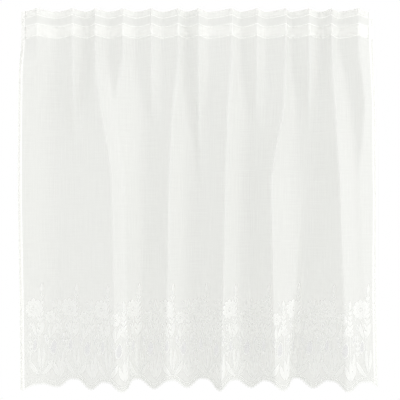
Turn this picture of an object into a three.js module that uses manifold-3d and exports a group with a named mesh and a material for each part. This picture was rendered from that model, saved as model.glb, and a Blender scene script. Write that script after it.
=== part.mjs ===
// A short lace curtain of sheer voile, hanging gathered from its heading.
// Millimetres, +Z up. The origin is the middle of the top edge, +X is to the right seen from the front,
// and the front faces -Y. A drop is a distance down from the top edge, and a place across the cloth is
// measured on the flat cloth from its left edge.
import * as THREE from "three";
import Module from "manifold-3d";

const wasm = await Module();
wasm.setup();

const drop = 750; // top edge to the scallop tips
const flatWidth = 905; // the cloth before it is gathered
const clothThickness = 1;
const tapeThickness = 1;
const sewingGap = 0.3; // the tape lies this far behind the cloth

const topHem = 15;
const sideHem = 9;
const hemStep = 0.6; // the hem's thickness fades out over this width
const tapeTop = 29;
const tapeWidth = 26;
const headingDepth = 57; // the gathers stay as the tape sets them down to here

const gatherDepth = 14; // half of a heading fold, front to back
const headingReach = 22; // the heading's depth, front to back
const headingDip = 3; // the far folds of the heading sit this much lower than the near ones
const levelBy = 150; // the cloth hangs level again from here down
const easing = 7; // cloth eases round every bend over this length
const columnsAcross = 110;
const rowDrops = [0, topHem, topHem + hemStep, headingDepth, 82, 112, 148, 190, 240, 310, 420, 560, 640, 695];

// The outline of the hanging cloth: its left and right edges at some drops.
const outline = [
  { drop: 0, left: -351, right: 346 },
  { drop: 60, left: -351, right: 346 },
  { drop: 200, left: -353, right: 352 },
  { drop: 370, left: -353, right: 353 },
  { drop: 560, left: -350, right: 350 },
  { drop: 750, left: -349, right: 352 },
];

// A fold comes forward slowly from its left and turns back at its near line to its far line.
// The heading has thirteen. Each dies out by some drop, or runs on into a fold of the body.
const headingFolds = [
  { near: -316, far: -281, diesBy: 130 },
  { near: -246, far: -222, diesBy: 340 },
  { near: -202, far: -176, diesBy: 160 },
  { near: -147, far: -123, diesBy: 160 },
  { near: -91, far: -72, diesBy: 270 },
  { near: -38, far: -24, diesBy: 200 },
  { near: 1, far: 20, diesBy: 420 },
  { near: 67, far: 84, diesBy: 200 },
  { near: 116, far: 134, diesBy: 270 },
  { near: 173, far: 183, diesBy: 200 },
  { near: 219, far: 242, diesBy: 330 },
  { near: 262, far: 278, diesBy: 130 },
  { near: 315, far: 343, diesBy: 130 },
];

// The folds of the body, a table for each of four drops, with drifting lines between them.
// Two of them run together below the heading, and another two bring a flat stretch before the next.
const bodyFolds = [
  {
    drop: headingDepth,
    folds: [
      { near: -316, far: -281, out: 14, back: 14 },
      { near: -202, far: -176, out: 14, back: 14 },
      { near: -147, far: -123, out: 14, back: 14 },
      { near: -38, far: -24, out: 14, back: 14 },
      { near: 67, far: 84, out: 14, back: 14 },
      { near: 173, far: 183, out: 14, back: 14 },
      { near: 190, far: 200, out: -14, back: 14 },
      { near: 262, far: 278, out: 14, back: 14 },
      { near: 315, far: 343, out: 14, back: 14 },
    ],
  },
  {
    drop: 190,
    folds: [
      { near: -351, far: -284, out: 8, back: 24 },
      { near: -190, far: -169, out: 24, back: -8 },
      { near: -163, far: -108, out: 7, back: 17 },
      { near: -49, far: -10, out: 14, back: 18 },
      { near: 58, far: 96, out: 17, back: 18 },
      { near: 168, far: 196, out: 19, back: 15 },
      { near: 202, far: 214, out: -15, back: 16 },
      { near: 267, far: 300, out: 18, back: 5 },
      { near: 328, far: 352, out: 9, back: 9 },
    ],
  },
  {
    drop: 330,
    folds: [
      { near: -352, far: -284, out: 12, back: 27 },
      { near: -167, far: -142, out: 31, back: -12 },
      { near: -139, far: -104, out: 7, back: 18 },
      { near: -57, far: -6, out: 12, back: 24 },
      { near: 54, far: 98, out: 20, back: 18 },
      { near: 142, far: 198, out: 19, back: 22 },
      { near: 210, far: 232, out: -22, back: 24 },
      { near: 275, far: 310, out: 19, back: -2 },
      { near: 318, far: 353, out: 3, back: 8 },
    ],
  },
  {
    drop: 700,
    folds: [
      { near: -349, far: -284, out: 6, back: 25 },
      { near: -159, far: -138, out: 32, back: -20 },
      { near: -137, far: -122, out: 16, back: 16 },
      { near: -60, far: 0, out: 6, back: 26 },
      { near: 46, far: 102, out: 18, back: 20 },
      { near: 150, far: 177, out: 19, back: -6 },
      { near: 178, far: 193, out: 6, back: 25 },
      { near: 288, far: 322, out: 25, back: -14 },
      { near: 330, far: 352, out: 14, back: -8 },
    ],
  },
];

// The lace border: its repeat across the flat cloth, and the windows left open in each repeat.
// across is a share of the repeat from its notch, and a window's top leans to the right by lean.
const repeat = 83.5;
const firstNotch = 42;
const scallopDepth = 18;
const firstDepth = 8; // the first notch, beside the left hem, is shallow
const laceWindows = [
  { shape: "arch", across: 0.41, drop: 669, width: 16, height: 28, lean: 2 },
  { shape: "arch", across: 0.9, drop: 663, width: 11, height: 24, lean: 1 },
  { shape: "leaf", across: 0.22, drop: 655, width: 6.5, height: 21, lean: -3 },
  { shape: "leaf", across: 0.67, drop: 652, width: 6.5, height: 21, lean: 4 },
  { shape: "leaf", across: 0.79, drop: 627, width: 5.5, height: 13, lean: -2 },
];
// A window's corners, as shares of half its width and half its height, clockwise from the top.
const windowShapes = {
  arch: [
    { right: 0, up: 1 },
    { right: 0.72, up: 0.45 },
    { right: 1, up: -0.35 },
    { right: 0.6, up: -1 },
    { right: -0.6, up: -1 },
    { right: -1, up: -0.35 },
    { right: -0.72, up: 0.45 },
  ],
  leaf: [
    { right: 0, up: 1 },
    { right: 1, up: -0.1 },
    { right: 0, up: -1 },
    { right: -1, up: -0.1 },
  ],
};

const ease = (t) => THREE.MathUtils.smoothstep(t, 0, 1);
const mix = THREE.MathUtils.lerp;

// The value of a table's column at some drop or place.
function between(table, along, at, column) {
  const next = table.findIndex((row) => row[along] >= at);
  if (next === 0) return table[0][column];
  if (next < 0) return table[table.length - 1][column];
  const a = table[next - 1];
  const b = table[next];
  return mix(a[column], b[column], (at - a[along]) / (b[along] - a[along]));
}

// How far forward a run of folds is at x. The cloth bends sharply at a near line, and is nearly flat
// at a far line.
const flatness = 0.65;
function waveAt(lines, x) {
  let k = lines.findIndex((line) => line.x > x);
  if (k < 0) k = lines.length - 1;
  const b = lines[k];
  const a = lines[Math.max(k - 1, 0)];
  if (a === b) return a.out;
  const t = THREE.MathUtils.clamp((x - a.x) / (b.x - a.x), 0, 1);
  const bent = a.out > b.out ? t * (1 + flatness - flatness * t) : t * (1 - flatness + flatness * t);
  return mix(a.out, b.out, bent);
}

function headingLines() {
  const lines = [{ x: outline[0].left, out: -gatherDepth }];
  for (const fold of headingFolds) {
    lines.push({ x: fold.near, out: gatherDepth });
    lines.push({ x: fold.far, out: -gatherDepth });
  }
  return lines;
}

function bodyLines(atDrop) {
  const last = bodyFolds.length - 1;
  const next = Math.max(1, bodyFolds.slice(0, last).filter((table) => table.drop < atDrop).length);
  const above = bodyFolds[next - 1];
  const below = bodyFolds[next];
  const t = THREE.MathUtils.clamp((atDrop - above.drop) / (below.drop - above.drop), 0, 1);
  const lines = [];
  above.folds.forEach((a, k) => {
    const b = below.folds[k];
    lines.push({ x: mix(a.near, b.near, t), out: mix(a.out, b.out, t) });
    lines.push({ x: mix(a.far, b.far, t), out: -mix(a.back, b.back, t) });
  });
  return lines;
}

// The cloth's line seen from above at one drop, in steps of about 1 mm, with its bends eased.
function sectionAt(atDrop, fullness) {
  const left = between(outline, "drop", atDrop, "left");
  const right = between(outline, "drop", atDrop, "right");
  const heading = headingLines();
  const body = bodyLines(atDrop);
  const middles = headingFolds.map((fold) => ({ x: (fold.near + fold.far) / 2, diesBy: fold.diesBy }));
  const steps = Math.round(right - left);
  let line = [];
  for (let k = 0; k <= steps; k++) {
    const x = mix(left, right, k / steps);
    const diesBy = between(middles, "x", x, "diesBy");
    const gathered = 1 - ease((atDrop - headingDepth) / (diesBy - headingDepth));
    const out = mix(waveAt(body, x), waveAt(heading, x), gathered) * fullness;
    line.push(new THREE.Vector2(x, -out));
  }
  line = pointsAlong(line, evenShares(Math.round(lengthOf(line))), 1);
  const reach = Math.round(easing / 2);
  for (let pass = 0; pass < 2; pass++)
    line = line.map((point, k) => {
      const n = Math.min(reach, k, line.length - 1 - k);
      const mean = new THREE.Vector2();
      for (let j = k - n; j <= k + n; j++) mean.add(line[j]);
      return mean.divideScalar(2 * n + 1);
    });
  return line;
}

function lengthOf(line) {
  let length = 0;
  for (let k = 1; k < line.length; k++) length += line[k].distanceTo(line[k - 1]);
  return length;
}

const evenShares = (steps) => Array.from({ length: steps + 1 }, (_, k) => k / steps);

// Points at given shares of a line. Its measure is a mix of length along it and plain width:
// the loose weave eases sideways, so less cloth is drawn into a deep fold than its length asks.
const byLength = 0.4;
function pointsAlong(line, shares, lengthPart) {
  const measure = (k) => mix(line[k].x - line[k - 1].x, line[k].distanceTo(line[k - 1]), lengthPart);
  let whole = 0;
  for (let k = 1; k < line.length; k++) whole += measure(k);
  let k = 1;
  let before = 0;
  return shares.map((share) => {
    while (before + measure(k) < share * whole && k < line.length - 1) {
      before += measure(k);
      k++;
    }
    const t = Math.min((share * whole - before) / measure(k), 1);
    return line[k - 1].clone().lerp(line[k], t);
  });
}

// The places across the flat cloth where the mesh has its columns, with a pair at each side hem's edge.
const columns = [0, sideHem, sideHem + hemStep];
for (let k = 1; k < columnsAcross; k++) {
  const place = (flatWidth * k) / columnsAcross;
  if (place > sideHem + 3 && place < flatWidth - sideHem - 3) columns.push(place);
}
columns.push(flatWidth - sideHem - hemStep, flatWidth - sideHem, flatWidth);

// One row of the cloth's middle surface: for each column a point, and the way to the cloth's back,
// lengthened at a bend so that both faces stay parallel.
// The folds are deepened until the line is as long as the flat cloth.
const mostFullness = 1.35;
function rowAt(atDrop) {
  let low = 0.9;
  let high = mostFullness;
  for (let pass = 0; pass < 12; pass++) {
    const middle = (low + high) / 2;
    if (lengthOf(sectionAt(atDrop, middle)) > flatWidth) high = middle;
    else low = middle;
  }
  const line = sectionAt(atDrop, low);
  const points = pointsAlong(line, columns.map((place) => place / flatWidth), byLength);
  const last = points.length - 1;
  const headed = (k) => points[k + 1].clone().sub(points[k]).normalize();
  return points.map((point, k) => {
    const before = headed(Math.max(k - 1, 0));
    const after = headed(Math.min(k, last - 1));
    const along = before.clone().add(after).normalize();
    const back = new THREE.Vector2(-along.y, along.x).divideScalar(along.dot(after));
    return { at: point, back };
  });
}

const rows = rowDrops.map((atDrop) => ({ drop: atDrop, points: rowAt(atDrop) }));
rows.push({ drop, points: rowAt(drop) });

// The scalloped edge: an arched notch between two hanging lobes, in each repeat.
function edgeDrop(place) {
  const phase = (place - firstNotch) / repeat;
  const toTip = 2 * Math.abs(phase - Math.round(phase));
  const depth = phase < 0.5 ? firstDepth : scallopDepth;
  return drop - depth * (1 - ease((toTip - 0.18) / 0.82));
}

// A point of the hung cloth: place across and drop on the flat cloth, and a distance behind its middle.
function onCloth(place, atDrop, behind) {
  let r = rows.findIndex((row) => row.drop >= atDrop);
  r = THREE.MathUtils.clamp(r, 1, rows.length - 1);
  let c = columns.findIndex((column) => column >= place);
  if (c < 0) c = columns.length - 1;
  c = Math.max(c, 1);
  const down = (atDrop - rows[r - 1].drop) / (rows[r].drop - rows[r - 1].drop);
  const over = (place - columns[c - 1]) / (columns[c] - columns[c - 1]);
  const pick = (row) => {
    const a = row.points[c - 1];
    const b = row.points[c];
    return a.at.clone().lerp(b.at, over).addScaledVector(a.back.clone().lerp(b.back, over), behind);
  };
  const flat = pick(rows[r - 1]).lerp(pick(rows[r]), down);
  const level = ease((atDrop - headingDepth) / (levelBy - headingDepth));
  const toTheBack = THREE.MathUtils.clamp(0.5 + flat.y / headingReach, 0, 1);
  return new THREE.Vector3(flat.x, flat.y, -atDrop - headingDip * toTheBack * (1 - level));
}

// A closed sheet from a grid of front points and a grid of back points, both in rows from the top.
function sheetSolid(front, back) {
  const down = front.length;
  const across = front[0].length;
  const positions = [...front.flat(), ...back.flat()].flatMap((p) => [p.x, p.y, p.z]);
  const f = (r, c) => r * across + c;
  const b = (r, c) => (down + r) * across + c;
  const faces = [];
  const quad = (p, q, r, s) => faces.push(p, q, r, p, r, s);
  for (let r = 0; r + 1 < down; r++)
    for (let c = 0; c + 1 < across; c++) {
      quad(f(r, c), f(r + 1, c), f(r + 1, c + 1), f(r, c + 1));
      quad(b(r, c), b(r, c + 1), b(r + 1, c + 1), b(r + 1, c));
    }
  for (let c = 0; c + 1 < across; c++) {
    quad(f(0, c), f(0, c + 1), b(0, c + 1), b(0, c));
    quad(f(down - 1, c), b(down - 1, c), b(down - 1, c + 1), f(down - 1, c + 1));
  }
  for (let r = 0; r + 1 < down; r++) {
    quad(f(r, 0), b(r, 0), b(r + 1, 0), f(r + 1, 0));
    quad(f(r, across - 1), f(r + 1, across - 1), b(r + 1, across - 1), b(r, across - 1));
  }
  return solidOf(positions, faces);
}

function solidOf(positions, faces) {
  const mesh = new wasm.Mesh({
    numProp: 3,
    vertProperties: new Float32Array(positions),
    triVerts: new Uint32Array(faces),
  });
  return new wasm.Manifold(mesh);
}

function meshOf(solid, name, colour, roughness) {
  const { vertProperties, triVerts } = solid.getMesh();
  const geometry = new THREE.BufferGeometry();
  geometry.setAttribute("position", new THREE.BufferAttribute(vertProperties, 3));
  geometry.setIndex(new THREE.BufferAttribute(triVerts, 1));
  geometry.computeVertexNormals();
  const material = new THREE.MeshStandardMaterial({ color: colour, roughness, metalness: 0 });
  const mesh = new THREE.Mesh(geometry, material);
  mesh.name = name;
  return mesh;
}

// How far the cloth's back lies behind its middle: twice as thick where a hem is turned.
function backOf(place, atDrop) {
  const inTopHem = atDrop <= topHem;
  const inSideHem = place <= sideHem || place >= flatWidth - sideHem;
  return clothThickness / 2 + (inTopHem || inSideHem ? clothThickness : 0);
}

// The cloth with its hems and its scalloped foot.
function hungCloth() {
  const grid = (behind) =>
    rows.map((row, r) =>
      columns.map((place) => {
        const atDrop = r === rows.length - 1 ? edgeDrop(place) : row.drop;
        return onCloth(place, atDrop, behind(place, atDrop));
      }),
    );
  return sheetSolid(
    grid(() => -clothThickness / 2),
    grid(backOf),
  );
}

// A tool that cuts one window of the lace straight through the folded cloth.
const cutReach = 4;
function windowTool(place, hole) {
  const rim = windowShapes[hole.shape].map((corner) => [
    place + (corner.right * hole.width) / 2 + corner.up * hole.lean,
    hole.drop - (corner.up * hole.height) / 2,
  ]);
  const positions = [];
  for (const behind of [-cutReach, cutReach]) {
    for (const [across, atDrop] of rim) positions.push(...onCloth(across, atDrop, behind).toArray());
    positions.push(...onCloth(place, hole.drop, behind).toArray());
  }
  const n = rim.length;
  const backRim = n + 1;
  const faces = [];
  for (let k = 0; k < n; k++) {
    const next = (k + 1) % n;
    faces.push(n, next, k);
    faces.push(backRim + n, backRim + k, backRim + next);
    faces.push(k, next, backRim + next, k, backRim + next, backRim + k);
  }
  return solidOf(positions, faces);
}

function makePanel() {
  let cloth = hungCloth();
  for (let notch = firstNotch - repeat; notch < flatWidth; notch += repeat)
    for (const hole of laceWindows) {
      const place = notch + hole.across * repeat;
      const clear = sideHem + hemStep + hole.width;
      if (place < clear || place > flatWidth - clear) continue;
      cloth = cloth.subtract(windowTool(place, hole));
    }
  return meshOf(cloth, "panel", "#f0f0ea", 0.9);
}

// The tape follows the gathers just behind the cloth. It passes over the side hems and eases down
// past their edges.
function makeHeadingTape() {
  const overHem = sideHem + hemStep + 0.1;
  const frontOf = (place) => {
    const onHem = place < overHem || place > flatWidth - overHem;
    return clothThickness / 2 + (onHem ? clothThickness : 0) + sewingGap;
  };
  const grid = (behind) =>
    [tapeTop, tapeTop + tapeWidth].map((atDrop) =>
      columns.map((place) => onCloth(place, atDrop, behind(place))),
    );
  const tape = sheetSolid(
    grid(frontOf),
    grid((place) => frontOf(place) + tapeThickness),
  );
  return meshOf(tape, "heading_tape", "#f6f6f4", 0.8);
}

const curtain = new THREE.Group();
curtain.add(makePanel(), makeHeadingTape());
export default curtain;
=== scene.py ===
# A short lace curtain of sheer voile, hanging gathered from its heading tape.
# Flat measures are millimetres on the cut cloth: across from its left edge, and drop from its top
# edge. behind is a distance in millimetres towards the back of the cloth. Meshes are in metres.
import math
import random

import bmesh
import bpy
import numpy as np
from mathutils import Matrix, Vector


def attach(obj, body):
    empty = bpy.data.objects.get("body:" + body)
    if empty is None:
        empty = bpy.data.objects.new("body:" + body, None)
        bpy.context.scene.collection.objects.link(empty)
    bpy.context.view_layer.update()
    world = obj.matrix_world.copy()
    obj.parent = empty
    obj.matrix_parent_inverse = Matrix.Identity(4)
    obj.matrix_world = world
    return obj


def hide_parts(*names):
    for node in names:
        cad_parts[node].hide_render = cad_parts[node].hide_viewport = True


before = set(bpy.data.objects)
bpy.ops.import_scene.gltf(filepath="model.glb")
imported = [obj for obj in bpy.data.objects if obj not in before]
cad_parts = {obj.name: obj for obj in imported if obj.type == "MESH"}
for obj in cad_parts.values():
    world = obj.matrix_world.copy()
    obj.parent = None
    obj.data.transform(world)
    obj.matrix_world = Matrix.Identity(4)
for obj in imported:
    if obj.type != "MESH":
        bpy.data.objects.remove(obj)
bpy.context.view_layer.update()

mm = 0.001

# The voile panel
# One width of sheer voile with its top and side hems turned twice to the back and its foot cut in
# scallops. It hangs in thirteen gathers at the heading, which run together into six broad folds.
# bend and top_bend are how far from a folded edge a turned hem reaches its full depth.
drop = 750
flat_width = 905
cloth_thickness = 0.25
top_hem = 15
side_hem = 9
bend = 0.8
top_bend = 0.9
tape_top = 29
tape_width = 26
heading_depth = 57
gather_depth = 14
flatness = 0.65
heading_reach = 22
heading_dip = 3
level_by = 150
easing = 7
by_length = 0.4
most_fullness = 1.35

# The hanging cloth's left and right edges, at some drops.
outline = {
    "drop": [0, 60, 200, 370, 560, 750],
    "left": [-351, -351, -353, -353, -350, -349],
    "right": [346, 346, 352, 353, 350, 352],
}

# Each heading gather: its near line, the far line it turns back to, and the drop where it dies out.
heading_folds = [
    (-316, -281, 130),
    (-246, -222, 340),
    (-202, -176, 160),
    (-147, -123, 160),
    (-91, -72, 270),
    (-38, -24, 200),
    (1, 20, 420),
    (67, 84, 200),
    (116, 134, 270),
    (173, 183, 200),
    (219, 242, 330),
    (262, 278, 130),
    (315, 343, 130),
]

# The body's folds at four drops: near line, far line, how far each stands out, and how far back.
body_folds = {
    heading_depth: [
        (-316, -281, 14, 14),
        (-202, -176, 14, 14),
        (-147, -123, 14, 14),
        (-38, -24, 14, 14),
        (67, 84, 14, 14),
        (173, 183, 14, 14),
        (190, 200, -14, 14),
        (262, 278, 14, 14),
        (315, 343, 14, 14),
    ],
    190: [
        (-351, -284, 8, 24),
        (-190, -169, 24, -8),
        (-163, -108, 7, 17),
        (-49, -10, 14, 18),
        (58, 96, 17, 18),
        (168, 196, 19, 15),
        (202, 214, -15, 16),
        (267, 300, 18, 5),
        (328, 352, 9, 9),
    ],
    330: [
        (-352, -284, 12, 27),
        (-167, -142, 31, -12),
        (-139, -104, 7, 18),
        (-57, -6, 12, 24),
        (54, 98, 20, 18),
        (142, 198, 19, 22),
        (210, 232, -22, 24),
        (275, 310, 19, -2),
        (318, 353, 3, 8),
    ],
    700: [
        (-349, -284, 6, 25),
        (-159, -138, 32, -20),
        (-137, -122, 16, 16),
        (-60, 0, 6, 26),
        (46, 102, 18, 20),
        (150, 177, 19, -6),
        (178, 193, 6, 25),
        (288, 322, 25, -14),
        (330, 352, 14, -8),
    ],
}


def ease(t):
    t = np.clip(t, 0, 1)
    return t * t * (3 - 2 * t)


def wave_at(places, outs, x):
    """How far forward a run of folds is at x: sharply bent at near lines, and nearly flat at far ones."""
    k = np.clip(np.searchsorted(places, x, side="right"), 1, len(places) - 1)
    t = np.clip((x - places[k - 1]) / (places[k] - places[k - 1]), 0, 1)
    falling = outs[k - 1] > outs[k]
    bent = np.where(falling, t * (1 + flatness - flatness * t), t * (1 - flatness + flatness * t))
    return outs[k - 1] + (outs[k] - outs[k - 1]) * bent


def body_lines(at_drop):
    """The near and far lines of the body's folds at a drop, and how far forward each is."""
    keys = sorted(body_folds)
    low = sum(at_drop > key for key in keys[1:-1])
    t = np.clip((at_drop - keys[low]) / (keys[low + 1] - keys[low]), 0, 1)
    above = np.array(body_folds[keys[low]], float)
    near, far, out, back = (above + (np.array(body_folds[keys[low + 1]]) - above) * t).T
    return np.stack([near, far], 1).ravel(), np.stack([out, -back], 1).ravel()


def along(line, shares, length_part):
    """Points at shares of a line, measured partly by its length and partly by its width."""
    step = np.diff(line, axis=0)
    measure = step[:, 0] + (np.hypot(*step.T) - step[:, 0]) * length_part
    so_far = np.concatenate([[0], np.cumsum(measure)]) / measure.sum()
    return np.stack([np.interp(shares, so_far, line[:, k]) for k in (0, 1)], 1)


def eased(line):
    """The line with its bends rounded, by a running mean that narrows towards its ends."""
    sums = np.concatenate([np.zeros((1, 2)), np.cumsum(line, axis=0)])
    k = np.arange(len(line))
    n = np.minimum(round(easing / 2), np.minimum(k, len(line) - 1 - k))
    return (sums[k + n + 1] - sums[k - n]) / (2 * n + 1)[:, None]


def length_of(line):
    return np.hypot(*np.diff(line, axis=0).T).sum()


def section_at(at_drop, fullness):
    """The cloth's line seen from above at one drop, in steps of about 1 mm."""
    left, right = (np.interp(at_drop, outline["drop"], outline[side]) for side in ("left", "right"))
    x = np.linspace(left, right, round(right - left) + 1)
    gathers = np.array(heading_folds, float)
    near_far = np.concatenate([[outline["left"][0]], gathers[:, :2].ravel()])
    outs = np.concatenate([[-gather_depth], np.tile([gather_depth, -gather_depth], len(gathers))])
    dies_by = np.interp(x, gathers[:, :2].mean(1), gathers[:, 2])
    gathered = 1 - ease((at_drop - heading_depth) / (dies_by - heading_depth))
    body = wave_at(*body_lines(at_drop), x)
    out = (body + (wave_at(near_far, outs, x) - body) * gathered) * fullness
    line = np.stack([x, -out], 1)
    line = along(line, np.linspace(0, 1, round(length_of(line)) + 1), 1)
    return eased(eased(line))


def row_at(at_drop, shares):
    """One row of the hung cloth, with the folds as deep as the cut width asks."""
    low, high = 0.9, most_fullness
    for _ in range(12):
        middle = (low + high) / 2
        if length_of(section_at(at_drop, middle)) > flat_width:
            high = middle
        else:
            low = middle
    return along(section_at(at_drop, low), shares, by_length)


row_step = 6
hung_rows = np.stack([row_at(d, np.linspace(0, 1, flat_width + 1)) for d in range(0, drop + 1, row_step)])
run = np.gradient(hung_rows, axis=1)
hung_backs = np.stack([-run[..., 1], run[..., 0]], -1) / np.linalg.norm(run, axis=-1)[..., None]


def hang(points):
    """Points in flat measures (across, drop, behind) to their places on the hung cloth, in metres."""
    across, at_drop, behind = np.asarray(points, float).T
    r = np.clip(at_drop / row_step, 0, len(hung_rows) - 1.001)
    c = np.clip(across, 0, flat_width - 0.001)
    top, left = r.astype(int), c.astype(int)
    down, over = (r - top)[:, None], (c - left)[:, None]

    def between(grid):
        upper = grid[top, left] * (1 - over) + grid[top, left + 1] * over
        lower = grid[top + 1, left] * (1 - over) + grid[top + 1, left + 1] * over
        return upper * (1 - down) + lower * down

    flat = between(hung_rows) + between(hung_backs) * behind[:, None]
    flat[:, 0] += across - c
    level = ease((at_drop - heading_depth) / (level_by - heading_depth))
    to_the_back = np.clip(0.5 + flat[:, 1] / heading_reach, 0, 1)
    height = -at_drop - heading_dip * to_the_back * (1 - level)
    return np.stack([flat[:, 0], flat[:, 1], height], 1) * mm


# The foot: an arched notch between two hanging lobes in each repeat of the lace.
repeat = 83.5
first_notch = 42
scallop_depth = 18
first_depth = 8
notches = [first_notch + k * repeat for k in range(-1, 11)]


def edge_drop(across):
    """The drop of the scalloped foot at places across."""
    phase = (np.asarray(across) - first_notch) / repeat
    to_tip = 2 * np.abs(phase - np.round(phase))
    depth = np.where(phase < 0.5, first_depth, scallop_depth)
    return drop - depth * (1 - ease((to_tip - 0.18) / 0.82))


# The open windows of one repeat: shape, share of the repeat from its notch, drop, width, height, lean.
windows = [
    ("arch", 0.41, 669, 16, 28, 2),
    ("arch", 0.9, 663, 11, 24, 1),
    ("leaf", 0.22, 655, 6.5, 21, -3),
    ("leaf", 0.67, 652, 6.5, 21, 4),
    ("leaf", 0.79, 627, 5.5, 13, -2),
]
window_corners = {
    "arch": [(0, 1), (0.72, 0.45), (1, -0.35), (0.6, -1), (-0.6, -1), (-1, -0.35), (-0.72, 0.45)],
    "leaf": [(0, 1), (1, -0.1), (0, -1), (-1, -0.1)],
}


def all_windows():
    """Each window of the border as (shape, across, drop, width, height, lean), clear of the side hems."""
    for notch in notches:
        for shape, share, at_drop, width, height, lean in windows:
            across = notch + share * repeat
            clear = side_hem + 0.6 + width
            if clear < across < flat_width - clear:
                yield shape, across, at_drop, width, height, lean


def window_place(window, points):
    """Flat points as shares of the way from a window's middle to its rim, and that way in flat measures."""
    shape, across, at_drop, width, height, lean = window
    up = (at_drop - points[:, 1]) / (height / 2)
    right = (points[:, 0] - across - up * lean) / (width / 2)
    corners = np.array(window_corners[shape], float)
    turns = np.arctan2(corners[:, 0], corners[:, 1])
    order = np.argsort(turns)
    reach = np.interp(np.arctan2(right, up), turns[order], np.hypot(*corners[order].T), period=2 * np.pi)
    return np.hypot(right, up) / reach


def stops(*stretches):
    """Places along one side of the cloth, from stretches of (start, end, steps)."""
    parts = [np.linspace(start, end, steps, endpoint=False) for start, end, steps in stretches]
    return np.concatenate([*parts, [stretches[-1][1]]])


# How far behind the front each turned hem lies, and its tucked raw edge.
side_back, side_tuck = 0.8, 0.4
top_back, top_tuck = 1.5, 1.0


def turned(points):
    """Cloth beyond an edge is turned to the back, and its raw edge is turned in under that."""
    across, at_drop = points[:, 0].copy(), points[:, 1].copy()
    behind = np.zeros(len(points))
    past = np.maximum(-across, across - flat_width)
    is_left = across < flat_width / 2
    folds = [0, bend, side_hem - bend, side_hem + bend]
    layer = np.interp(past, folds, [0, side_back, side_back, side_tuck])
    inward = side_hem - np.abs(side_hem - past)
    behind += np.where(past > 0, layer, 0)
    across = np.where(past > 0, np.where(is_left, inward, flat_width - inward), across)
    above = -at_drop
    folds = [0, top_bend, top_hem - bend, top_hem + bend]
    layer = np.interp(above, folds, [0, top_back, top_back, top_tuck])
    behind = np.where(above > 0, layer - behind * 0.3, behind)
    at_drop = np.where(above > 0, top_hem - np.abs(top_hem - above), at_drop)
    return np.stack([across, at_drop, behind], 1)


def corners_of(bm):
    return np.array([v.co for v in bm.verts])


def move_to(bm, places):
    for v, place in zip(bm.verts, places):
        v.co = place


def dressed(mesh, finish):
    """A mesh as an object of the curtain, with its finish."""
    mesh.materials.append(finish)
    mesh.shade_smooth()
    mesh.set_sharp_from_angle(angle=math.radians(35))
    made = bpy.data.objects.new(mesh.name, mesh)
    bpy.context.scene.collection.objects.link(made)
    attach(made, "root")
    return made


def piece(name, bm, finish):
    """A finished piece from a mesh that is already in its hung place."""
    mesh = bpy.data.meshes.new(name)
    bm.to_mesh(mesh)
    bm.free()
    return dressed(mesh, finish)


# The windows lie between these drops, and below the second the cloth is drawn to its scallops.
border_top = 600
scallops_from = 700


def panel_mesh():
    """The panel from its flat grid of cloth: cut, turned in at its hems, hung, and given its thickness."""
    hem = [(-2 * side_hem, -1, 4), (-1, 1, 3), (1, side_hem, 3), (side_hem, side_hem + 0.5, 1)]
    middle = (side_hem + 0.5, flat_width - side_hem - 0.5, 312)
    other_hem = [(flat_width - end, flat_width - start, steps) for start, end, steps in reversed(hem)]
    across = stops(*hem, middle, *other_hem)
    tape_foot = tape_top + tape_width
    down = stops(
        (-2 * top_hem, -top_hem - bend, 2),
        (-top_hem - bend, bend - top_hem, 2),
        (bend - top_hem, -1, 2),
        (-1, 1, 3),
        (1, top_hem, 3),
        (top_hem, top_hem + 0.5, 1),
        (top_hem + 0.5, tape_top - 0.5, 3),
        (tape_top - 0.5, tape_top, 1),
        (tape_top, tape_foot, 6),
        (tape_foot, tape_foot + 0.5, 1),
        (tape_foot + 0.5, border_top - 60, 37),
        (border_top - 60, scallops_from, 50),
        (scallops_from, drop, 13),
    )
    bm = bmesh.new()
    bmesh.ops.create_grid(bm, x_segments=len(across) - 1, y_segments=len(down) - 1, size=1)
    unit = (corners_of(bm)[:, :2] + 1) / 2
    column = np.rint(unit[:, 0] * (len(across) - 1)).astype(int)
    row = np.rint(unit[:, 1] * (len(down) - 1)).astype(int)
    flat = np.stack([across[column], down[row], np.zeros(len(unit))], 1)
    move_to(bm, flat)
    beside = [f for f in bm.faces if not 0 < f.calc_center_median().x < flat_width]
    corners = [f for f in beside if f.calc_center_median().y < 0]
    bmesh.ops.delete(bm, geom=corners, context="FACES")
    cut_windows(bm)
    flat = corners_of(bm)
    layered = turned(flat)
    foot = np.clip((layered[:, 1] - scallops_from) / (drop - scallops_from), 0, 1)
    layered[:, 1] += foot * (edge_drop(layered[:, 0]) - drop)
    uv = bm.loops.layers.uv.new("flat")
    worked = bm.verts.layers.float.new("worked")
    stacked = bm.verts.layers.float.new("stacked")
    slack = 0.2
    on_tape = (flat[:, 1] > tape_top - slack) & (flat[:, 1] < tape_foot + slack)
    in_top_hem = flat[:, 1] < top_hem + slack
    in_side_hem = np.abs(flat[:, 0] - flat_width / 2) > flat_width / 2 - side_hem - slack
    for k, v in enumerate(bm.verts):
        across_it = bool(on_tape[k] or in_top_hem[k])
        v[worked] = float(across_it or in_side_hem[k])
        v[stacked] = across_it and in_side_hem[k]
    for face in bm.faces:
        for loop in face.loops:
            place = loop.vert.co
            loop[uv].uv = ((place.x + 20) * mm, (place.y + 40) * mm)
    move_to(bm, hang(layered))
    bm.normal_update()
    bmesh.ops.solidify(bm, geom=bm.faces[:], thickness=-cloth_thickness * mm)
    bmesh.ops.recalc_face_normals(bm, faces=bm.faces[:])
    return bm


window_reach = 30
most_shift = 1.2


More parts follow.
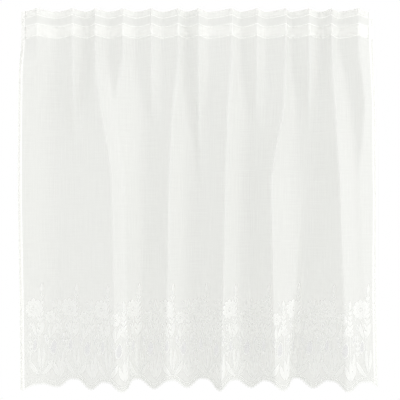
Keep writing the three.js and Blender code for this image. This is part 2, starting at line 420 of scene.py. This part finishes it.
def cut_windows(bm):
    """Takes out the cloth inside each window, and draws the cut edge onto the window's outline."""
    bm.faces.ensure_lookup_table()
    middles = np.array([f.calc_center_median() for f in bm.faces])
    taken = set()
    for window in all_windows():
        away = np.hypot(middles[:, 0] - window[1], middles[:, 1] - window[2])
        near = np.flatnonzero(away < window_reach)
        taken.update(near[window_place(window, middles[near]) < 1].tolist())
    bmesh.ops.delete(bm, geom=[bm.faces[k] for k in taken], context="FACES")
    rims = [
        v
        for v in bm.verts
        if v.is_boundary and border_top < v.co.y < scallops_from and 0 < v.co.x < flat_width
    ]
    places = np.array([v.co for v in rims])
    for window in all_windows():
        _, across, at_drop, _, height, lean = window
        middle = np.array([across, at_drop, 0])
        for k in np.flatnonzero(np.linalg.norm(places - middle, axis=1) < window_reach):
            share = window_place(window, places[k : k + 1])[0]
            if 0.6 < share < 1.6:
                leaned = (at_drop - places[k, 1]) / (height / 2) * lean
                way = places[k] - middle - [leaned, 0, 0]
                down = way[1] / share
                shift = middle + [way[0] / share - down / (height / 2) * lean, down, 0] - places[k]
                rims[k].co = places[k] + shift * min(1, most_shift / np.linalg.norm(shift))


class Wire:
    """A shader value that plain arithmetic works on."""

    def __init__(self, socket):
        self.socket = socket

    def math(self, operation, *values):
        made = add_node(self.socket.id_data, "Math", {"operation": operation})
        for socket, value in zip(made.inputs, values):
            connect(socket, value)
        return Wire(made.outputs[0])

    def __add__(self, other):
        return self.math("ADD", self, other)

    def __mul__(self, other):
        return self.math("MULTIPLY", self, other)

    def __sub__(self, other):
        return self.math("SUBTRACT", self, other)

    def __rsub__(self, other):
        return self.math("SUBTRACT", other, self)

    __radd__ = __add__
    __rmul__ = __mul__


def connect(socket, value):
    if isinstance(value, Wire):
        socket.id_data.links.new(value.socket, socket)
    else:
        socket.default_value = value


def add_node(tree, kind, settings=None, **values):
    """A shader node: its type, its settings, and the values or wires of its sockets by name."""
    made = tree.nodes.new("ShaderNode" + kind)
    for name, value in (settings or {}).items():
        setattr(made, name, value)
    for name, value in values.items():
        label = name.replace("_", " ")
        socket = next(s for s in made.inputs if s.enabled and s.name == label)
        connect(socket, value)
    return made


def wire(node, output):
    return Wire(node.outputs[output])


def finish_of(name, roughness):
    """A new material, its node tree, and its one surface shader."""
    material = bpy.data.materials.new(name)
    material.use_nodes = True
    surface = material.node_tree.nodes["Principled BSDF"]
    surface.inputs["Roughness"].default_value = roughness
    surface.inputs["Specular IOR Level"].default_value = 0.2
    return material, material.node_tree, surface


def tint(tree, share, plain, full):
    """A colour between two, by a share."""
    mixed = add_node(tree, "Mix", {"data_type": "RGBA"}, Factor=share, A=(*plain, 1), B=(*full, 1))
    return Wire(next(s for s in mixed.outputs if s.enabled))


# The single layer of voile is coloured grey as painted shade, standing for a darker backdrop seen through
# the sheer cloth; the worked parts keep the cloth's own white.
voile_grey_painted_shade, worked_white = (0.743, 0.749, 0.718), (0.96, 0.963, 0.94)
voile_cover = 0.45


def voile_finish():
    """Sheer voile: fine uneven yarns let light through. Its single layer has a grey base colour, painted
    shade of a darker backdrop seen through it, and where a hem or the tape doubles it the cloth is given
    its own white and denser cover.
    """
    material, tree, surface = finish_of("voile", 0.85)
    flat = wire(add_node(tree, "UVMap", {"uv_map": "flat"}), "UV")
    yarns = add_node(tree, "Mapping", None, Vector=flat, Scale=(900, 14, 1))
    streak = wire(add_node(tree, "TexNoise", None, Vector=wire(yarns, "Vector"), Scale=1, Detail=2), 0)
    weft = add_node(tree, "Mapping", None, Vector=flat, Scale=(16, 1100, 1))
    slub = wire(add_node(tree, "TexNoise", None, Vector=wire(weft, "Vector"), Scale=1, Detail=2), 0)
    worked = wire(add_node(tree, "Attribute", {"attribute_name": "worked"}), "Fac")
    stacked = wire(add_node(tree, "Attribute", {"attribute_name": "stacked"}), "Fac")
    uneven = (streak - 0.5) * 0.12 + (slub - 0.5) * 0.08
    # Base colour runs from the painted grey shade of the single layer to white where the cloth is worked.
    connect(surface.inputs["Base Color"], tint(tree, worked, voile_grey_painted_shade, worked_white))
    connect(surface.inputs["Alpha"], uneven + voile_cover - worked * 0.1 + stacked * 0.5)
    weave = add_node(tree, "Bump", None, Strength=0.25, Distance=0.0002, Height=streak + slub)
    connect(surface.inputs["Normal"], wire(weave, "Normal"))
    return material


voile = voile_finish()
panel = piece("voile_panel", panel_mesh(), voile)
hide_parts("panel")

# The heading tape
# A flat woven gathering tape, 26 mm wide, sewn across the back below the top hem. Its ends lie over
# the side hems and so stand further back, and two ribs along its back hold its draw yarns.
tape_thickness = 0.9
tape_behind = 0.8
hem_under_tape = 0.9
back_beyond = 0.5
rib_shares = (0.22, 0.78)
rib_width = 1.3
rib_height = 0.5


def tape_mesh():
    """The tape from its flat grid: given its thickness, ribbed along its back, and hung."""
    bm = bmesh.new()
    bmesh.ops.create_grid(bm, x_segments=360, y_segments=26, size=1)
    unit = (corners_of(bm)[:, :2] + 1) / 2
    across = unit[:, 0] * flat_width
    at_drop = tape_top + unit[:, 1] * tape_width
    over_hem = 1 - ease((np.minimum(across, flat_width - across) - side_hem) / 4)
    behind = tape_behind + hem_under_tape * over_hem
    flat = np.stack([across, at_drop, behind], 1)
    uv = bm.loops.layers.uv.new("flat")
    for face in bm.faces:
        for loop in face.loops:
            x, y = loop.vert.co.xy
            loop[uv].uv = ((x + 1) / 2 * flat_width * mm, (y + 1) / 2 * tape_width * mm)
    move_to(bm, flat)
    bmesh.ops.solidify(bm, geom=bm.faces[:], thickness=-tape_thickness)
    flat = corners_of(bm)
    share = (flat[:, 1] - tape_top) / tape_width
    rib = sum(np.exp(-(((share - middle) * tape_width) / rib_width) ** 2) for middle in rib_shares)
    is_back = flat[:, 2] > tape_behind + back_beyond
    flat[:, 2] += np.where(is_back, rib_height * rib, 0)
    move_to(bm, hang(flat))
    bmesh.ops.recalc_face_normals(bm, faces=bm.faces[:])
    return bm


def tape_finish():
    """Close-woven tape: fine ribs along it and a tighter cross yarn."""
    material, tree, surface = finish_of("tape", 0.8)
    flat = wire(add_node(tree, "UVMap", {"uv_map": "flat"}), "UV")
    along_tape = add_node(tree, "Mapping", None, Vector=flat, Scale=(60, 1200, 1))
    across_tape = add_node(tree, "Mapping", None, Vector=flat, Scale=(1000, 90, 1))
    warp = wire(add_node(tree, "TexNoise", None, Vector=wire(along_tape, "Vector"), Scale=1), 0)
    weft = wire(add_node(tree, "TexNoise", None, Vector=wire(across_tape, "Vector"), Scale=1), 0)
    connect(surface.inputs["Base Color"], tint(tree, warp, (0.94, 0.942, 0.925), (0.98, 0.982, 0.965)))
    surface.inputs["Alpha"].default_value = 0.7
    weave = add_node(tree, "Bump", None, Strength=0.5, Distance=0.0003, Height=warp + weft)
    connect(surface.inputs["Normal"], wire(weave, "Normal"))
    return material


tape = piece("woven_tape", tape_mesh(), tape_finish())
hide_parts("heading_tape")

# The sewing
# One row of white lockstitch holds the top hem, one runs down each side hem, and two hold the tape.
stitch_pitch = 3.2
stitch_length = 2.4
thread_width = 0.45
rim_lift = 0.1


def round_bed(around, steps):
    """The points and faces of one closed bed of thread, a unit long each way from its middle."""
    bm = bmesh.new()
    bmesh.ops.create_uvsphere(bm, u_segments=around, v_segments=steps, radius=1)
    bm.verts.index_update()
    points = corners_of(bm)
    faces = [[v.index for v in face.verts] for face in bm.faces]
    bm.free()
    return points, faces


bed_shapes = {}


def bed(beds, start, end, width, bow=0.0, ends="round", rise=0.4, fall=0.7, around=6, steps=6):
    """Adds a bed of thread that lies on the cloth from start to end, bowed sideways, in flat measures."""
    if (around, steps) not in bed_shapes:
        bed_shapes[around, steps] = round_bed(around, steps)
    unit, faces = bed_shapes[around, steps]
    start, end = np.array(start, float), np.array(end, float)
    way = end - start
    length = np.hypot(*way)
    side = np.array([-way[1], way[0]]) / length
    s = (unit[:, 2] + 1) / 2
    ring = np.sqrt(np.maximum(1 - unit[:, 2] ** 2, 0))
    sideways = unit[:, 0] * width / 2
    if ends == "pointed":
        sideways = sideways * (0.3 + 0.7 * ring)
    if ends == "blunt":
        sideways = np.where(ring > 0.01, sideways / np.maximum(ring, 0.01), 0)
    places = start + way * s[:, None] + side * (sideways + bow * 4 * s * (1 - s))[:, None]
    behind = unit[:, 1] * np.where(unit[:, 1] > 0, fall, rise) - rim_lift
    beds.append((np.column_stack([places, behind]), faces, np.column_stack([s * length, sideways]) * mm))


def sewn(name, beds, finish):
    """One piece made of many beds of thread, hung with the cloth."""
    points, shapes, laid = zip(*beds)
    firsts = np.cumsum([0, *(len(part) for part in points[:-1])]).tolist()
    faces = [[first + v for v in face] for first, shape in zip(firsts, shapes) for face in shape]
    mesh = bpy.data.meshes.new(name)
    mesh.from_pydata(hang(np.concatenate(points)).tolist(), [], faces)
    corners = np.empty(len(mesh.loops), int)
    mesh.loops.foreach_get("vertex_index", corners)
    mesh.uv_layers.new(name="laid").data.foreach_set("uv", np.concatenate(laid)[corners].ravel())
    return dressed(mesh, finish)


def row_of_stitches(beds, start, end):
    """A row of lockstitches along a straight seam."""
    start, end = np.array(start, float), np.array(end, float)
    length = np.hypot(*(end - start))
    way = (end - start) / length
    for k in range(int(length / stitch_pitch)):
        first = start + way * (k + 0.5) * stitch_pitch
        last = first + way * stitch_length
        bed(beds, first, last, thread_width, ends="blunt", rise=0.38, fall=0.2, around=4, steps=4)


# The bands that a wave texture draws in one unit of length at scale 1.
bands_at_scale_1 = 20 / (2 * math.pi)


def thread_finish(name, dark, light, threads_per_metre):
    """White thread laid side by side across each bed, with the shade of its furrows."""
    material, tree, surface = finish_of(name, 0.6)
    laid = wire(add_node(tree, "UVMap", {"uv_map": "laid"}), "UV")
    scale = threads_per_metre / bands_at_scale_1
    furrows = add_node(tree, "TexWave", {"bands_direction": "X"}, Vector=laid, Scale=scale, Distortion=1.2)
    shade = wire(furrows, "Fac")
    connect(surface.inputs["Base Color"], tint(tree, shade, dark, light))
    ridges = add_node(tree, "Bump", None, Strength=0.15, Distance=0.0002, Height=shade)
    connect(surface.inputs["Normal"], wire(ridges, "Normal"))
    return material


sewing_thread = thread_finish("sewing thread", (0.84, 0.845, 0.82), (0.92, 0.925, 0.9), 600)
seams = [
    ((side_hem, top_hem - 1.5), (flat_width - side_hem, top_hem - 1.5)),
    ((2, tape_top + 2), (flat_width - 2, tape_top + 2)),
    ((2, tape_top + tape_width - 2), (flat_width - 2, tape_top + tape_width - 2)),
    ((side_hem - 1.5, top_hem), (side_hem - 1.5, drop - 12)),
    ((flat_width - side_hem + 1.5, top_hem), (flat_width - side_hem + 1.5, drop - 12)),
]
sewing = []
for seam in seams:
    row_of_stitches(sewing, *seam)
stitches = sewn("sewing", sewing, sewing_thread)

# The lace border
# Flowers, sprigs and leaves embroidered on the voile in satin stitch, one repeat for each scallop.
# Each petal, leaf or stem is a low bed of thread, raised on both faces of the cloth.
wobble = random.Random(11)


def turn_of(angle):
    """The way that points at an angle clockwise from up the cloth, in flat measures."""
    return np.array([math.sin(angle), -math.cos(angle)])


def clear_of_hems(*places):
    return all(side_hem + 0.8 < place[0] < flat_width - side_hem - 0.8 for place in places)


def petal(beds, start, end, width, bow=0.0, ends="round", rise=0.3):
    """One broad bed, left out where it would run over a side hem."""
    if clear_of_hems(start, end):
        steps = max(6, round(math.dist(start, end) / 2.4))
        bed(beds, start, end, width, bow, ends, rise=rise, fall=0.9, around=8, steps=steps)


def leaf(beds, base, tip, width, bow=0.0):
    """A long leaf in two halves that meet along its vein."""
    for hand in (-1, 1):
        petal(beds, base, tip, width * 0.58, bow + hand * width * 0.26, "pointed")


def stem(beds, foot, tip, bow, width=1.8):
    if clear_of_hems(foot, tip):
        steps = round(math.dist(foot, tip) / 3)
        bed(beds, foot, tip, width, bow, "blunt", rise=0.3, fall=0.8, around=6, steps=steps)


def on_curve(foot, tip, bow, s):
    """The place at a share of a bowed line from foot to tip."""
    foot, tip = np.array(foot, float), np.array(tip, float)
    way = tip - foot
    side = np.array([-way[1], way[0]]) / np.hypot(*way)
    return foot + way * s + side * (bow * 4 * s * (1 - s))


def bloom(beds, across, at_drop, radius, petals, turn=0.0):
    """An open flower: a ring of broad petals, short ones between them, and three small ones inside."""
    middle = np.array([across, at_drop])
    width = 2 * math.pi * radius * 0.72 / petals
    for k in range(petals):
        way = turn_of(turn + 2 * math.pi * k / petals)
        reach = radius * wobble.uniform(0.93, 1.05)
        petal(beds, middle + way * radius * 0.44, middle + way * reach, width * 1.04)
        way = turn_of(turn + 2 * math.pi * (k + 0.5) / petals)
        petal(beds, middle + way * radius * 0.2, middle + way * radius * 0.5, width * 0.6, rise=0.4)
    for k in range(3):
        shift = np.array([(k - 1) * radius * 0.12, 0])
        reach = np.array([0, radius * 0.16])
        petal(beds, middle + shift - reach, middle + shift + reach, radius * 0.13, rise=0.5)


def sprig(beds, foot, tip, bow, pairs, leaf_length, leaf_width, bare=0.3):
    """A stem with pairs of pointed leaves that shorten towards its tip."""
    stem(beds, foot, tip, bow)
    top = np.array(tip, float)
    way_up = top - on_curve(foot, tip, bow, 0.9)
    way_up = way_up / np.hypot(*way_up)
    leaf(beds, on_curve(foot, tip, bow, 0.94), top + way_up * leaf_length, leaf_width * 1.1)
    for k in range(pairs):
        s = bare + (0.95 - bare) * k / pairs
        size = 1.1 - 0.45 * k / pairs
        base = on_curve(foot, tip, bow, s)
        ahead = on_curve(foot, tip, bow, s + 0.03) - base
        ahead = ahead / np.hypot(*ahead)
        out = np.array([-ahead[1], ahead[0]])
        for hand in (-1, 1):
            lean = ahead * 0.84 + out * hand * 0.54
            length = leaf_length * size * wobble.uniform(0.9, 1.1)
            petal(beds, base + out * hand, base + lean * length, leaf_width * size, -hand * 0.9, "pointed")


def rim(beds, window):
    """A satin cord round the cut edge of one window."""
    shape, across, at_drop, width, height, lean = window
    corners = [
        (across + right * width / 2 + up * lean, at_drop - up * height / 2)
        for right, up in window_corners[shape]
    ]
    for corner, after in zip(corners, corners[1:] + corners[:1]):
        bed(beds, corner, after, 2.6, rise=0.4, ends="blunt", steps=5)


def net(beds, window, pitch=2.3, width=0.8):
    """A fine diamond net across one window, two sets of threads that cross."""
    middle = np.array(window[1:3])
    for angle in (0.52, -0.52):
        way = turn_of(angle)
        side = np.array([-way[1], way[0]])
        for k in range(-9, 10):
            line = middle + side * (k * pitch) + way * np.linspace(-20, 20, 161)[:, None]
            inside = line[window_place(window, line) < 1]
            if len(inside) > 8:
                bed(beds, inside[0], inside[-1], width, ends="blunt", rise=0.2, fall=0.2, around=4, steps=4)


# One repeat, across from its notch and by drop. Blooms: across, drop, radius, petals, turn. Sprigs:
# foot, tip, bow, pairs, leaf length, leaf width, bare share. Stems: foot, tip, bow. Leaves: base, tip,
# width, bow. Knots: across, drop.
blooms = [(-11, 592, 19.5, 10, 0.0), (27, 610, 12.5, 8, 0.3), (47, 636, 8.5, 6, 0.0)]
sprigs = [
    ((3, 702), (8, 556), -2, 7, 14, 5.4, 0.4),
    ((45, 702), (47, 586), 0, 4, 12, 5, 0.6),
    ((-19, 704), (-19, 648), 0, 3, 9, 4.2, 0.4),
]
stems = [((-1, 694), (-9, 613), 5), ((22, 704), (26, 624), -1)]
leaves = [
    ((-4, 648), (-12, 618), 7.5, -2),
    ((0, 648), (12, 618), 7.5, 2),
    ((26, 654), (25, 626), 6, -1.5),
    ((28, 648), (38, 624), 7, 2),
    ((4, 714), (1, 668), 6, -1.5),
    ((6, 714), (12, 670), 6.5, 2),
    ((2, 724), (-22, 692), 8.5, -3),
    ((8, 724), (31, 696), 8.5, 3),
    ((46, 730), (34, 700), 8, -2),
    ((48, 730), (58, 698), 8, 2),
    ((47, 728), (46, 690), 7.5, 0),
    ((-34, 712), (-28, 676), 6.5, 2),
]
knots = [(-37, 590), (-34, 604), (15, 592), (37, 592), (34, 580), (60, 612), (58, 600), (-38, 640)]


def lace_repeat(beds, notch):
    """One repeat of the border, with its notch at the given place across."""

    def at(place):
        return notch + place[0], place[1]

    for across, at_drop, radius, petals, turn in blooms:
        bloom(beds, notch + across, at_drop, radius, petals, turn)
    for foot, tip, bow, pairs, leaf_length, leaf_width, bare in sprigs:
        sprig(beds, at(foot), at(tip), bow, pairs, leaf_length, leaf_width, bare)
    for foot, tip, bow in stems:
        stem(beds, at(foot), at(tip), bow)
    for base, tip, width, bow in leaves:
        leaf(beds, at(base), at(tip), width, bow)
    for across, at_drop in knots:
        petal(beds, at((across, at_drop - 2)), at((across, at_drop + 2)), 3.6, rise=0.4)


cord_step = 4
cord_up = 1
fine_cord_up = 9
picot_pitch = 6


def finished_edge(beds):
    """A satin cord along the scallops, a finer one above it, leaves between, and picots below."""
    count = round((flat_width - 2 * side_hem) / cord_step)
    across = np.linspace(side_hem, flat_width - side_hem, count)
    foot = edge_drop(across)
    for k in range(count - 1):
        for up, width, rise in ((cord_up, 2.4, 0.3), (fine_cord_up, 1.2, 0.25)):
            here, after = (across[k], foot[k] - up), (across[k + 1], foot[k + 1] - up)
            bed(beds, here, after, width, rise=rise, ends="blunt", steps=4)
        if k % 3 == 1:
            lean = 1.6 * math.copysign(1, math.sin(2 * math.pi * (across[k] - first_notch) / repeat))
            base, tip = (across[k] + lean, foot[k] - 3), (across[k] - lean, foot[k] - 8)
            bed(beds, base, tip, 2.2, rise=0.25, steps=5)
    loops = round((flat_width - 4) / picot_pitch)
    ends = np.linspace(2, flat_width - 2, loops)
    for first, last in zip(ends[:-1], ends[1:]):
        start, end = (first + 0.6, edge_drop(first + 0.6)), (last - 0.6, edge_drop(last - 0.6))
        bed(beds, start, end, 1.5, bow=1.9, ends="blunt", rise=0.35, fall=0.3, steps=7)


lace_thread = thread_finish("lace thread", (0.785, 0.79, 0.77), (0.81, 0.815, 0.795), 1500)
flowers = []
for notch in notches:
    lace_repeat(flowers, notch)
lace = sewn("lace_flowers", flowers, lace_thread)

edging = []
finished_edge(edging)
nets = []
for window in all_windows():
    rim(edging, window)
    net(nets, window)
edge = sewn("lace_edge", edging, lace_thread)
# The net is fine thread across each open window, but its grey colour is painted shade, standing for the
# darker backdrop seen through the openings.
net_thread_painted_shade = thread_finish("net thread painted shade", (0.57, 0.57, 0.565), (0.64, 0.64, 0.635), 1500)
net_piece = sewn("window_net", nets, net_thread_painted_shade)

# The stage
# A plain pale floor, well below the curtain, a white surround, and soft light from the right.
scene = bpy.context.scene
scene.view_settings.view_transform = "Standard"
world = bpy.data.worlds.new("studio")
scene.world = world
world.use_nodes = True
sky = world.node_tree
seen = wire(add_node(sky, "LightPath"), "Is Camera Ray")
background = sky.nodes["Background"]
background.inputs["Color"].default_value = (1, 1, 1, 1)
ambient = 1.14
connect(background.inputs["Strength"], seen * (1 - ambient) + ambient)


def softbox(name, place, target, size, power):
    data = bpy.data.lights.new(name, "AREA")
    data.shape = "DISK"
    data.size = size
    data.energy = power
    lamp = bpy.data.objects.new(name, data)
    scene.collection.objects.link(lamp)
    lamp.location = place
    aim = Vector(target) - lamp.location
    lamp.rotation_euler = aim.to_track_quat("-Z", "Y").to_euler()


softbox("key", (5.2, -3.2, 0.8), (0, 0, -0.4), 2.8, 62)

floor_radius = 1.1
floor_height = -1.0
floor_bm = bmesh.new()
bmesh.ops.create_circle(floor_bm, cap_ends=True, segments=96, radius=floor_radius)
floor_mesh = bpy.data.meshes.new("floor")
for v in floor_bm.verts:
    v.co.z = floor_height
floor_bm.to_mesh(floor_mesh)
floor_bm.free()
floor = bpy.data.objects.new("floor", floor_mesh)
scene.collection.objects.link(floor)
floor_material, floor_tree, floor_surface = finish_of("floor", 0.9)
floor_surface.inputs["Base Color"].default_value = (0.85, 0.85, 0.84, 1)
floor_mesh.materials.append(floor_material)

# The camera
# Square on to the curtain at the middle of its drop, as the photograph is taken.
camera_distance = 2.1
camera_across = 0.0035
camera_height = -0.3768
photo_pixels = 400
mm_per_pixel = 1.97
sensor_width = 36
camera_data = bpy.data.cameras.new("camera")
camera_data.sensor_width = sensor_width
camera_data.lens = sensor_width * camera_distance / (photo_pixels * mm_per_pixel * mm)
camera = bpy.data.objects.new("camera", camera_data)
scene.collection.objects.link(camera)
camera.location = (camera_across, -camera_distance, camera_height)
camera.rotation_euler = (math.radians(90), 0, 0)
scene.camera = camera
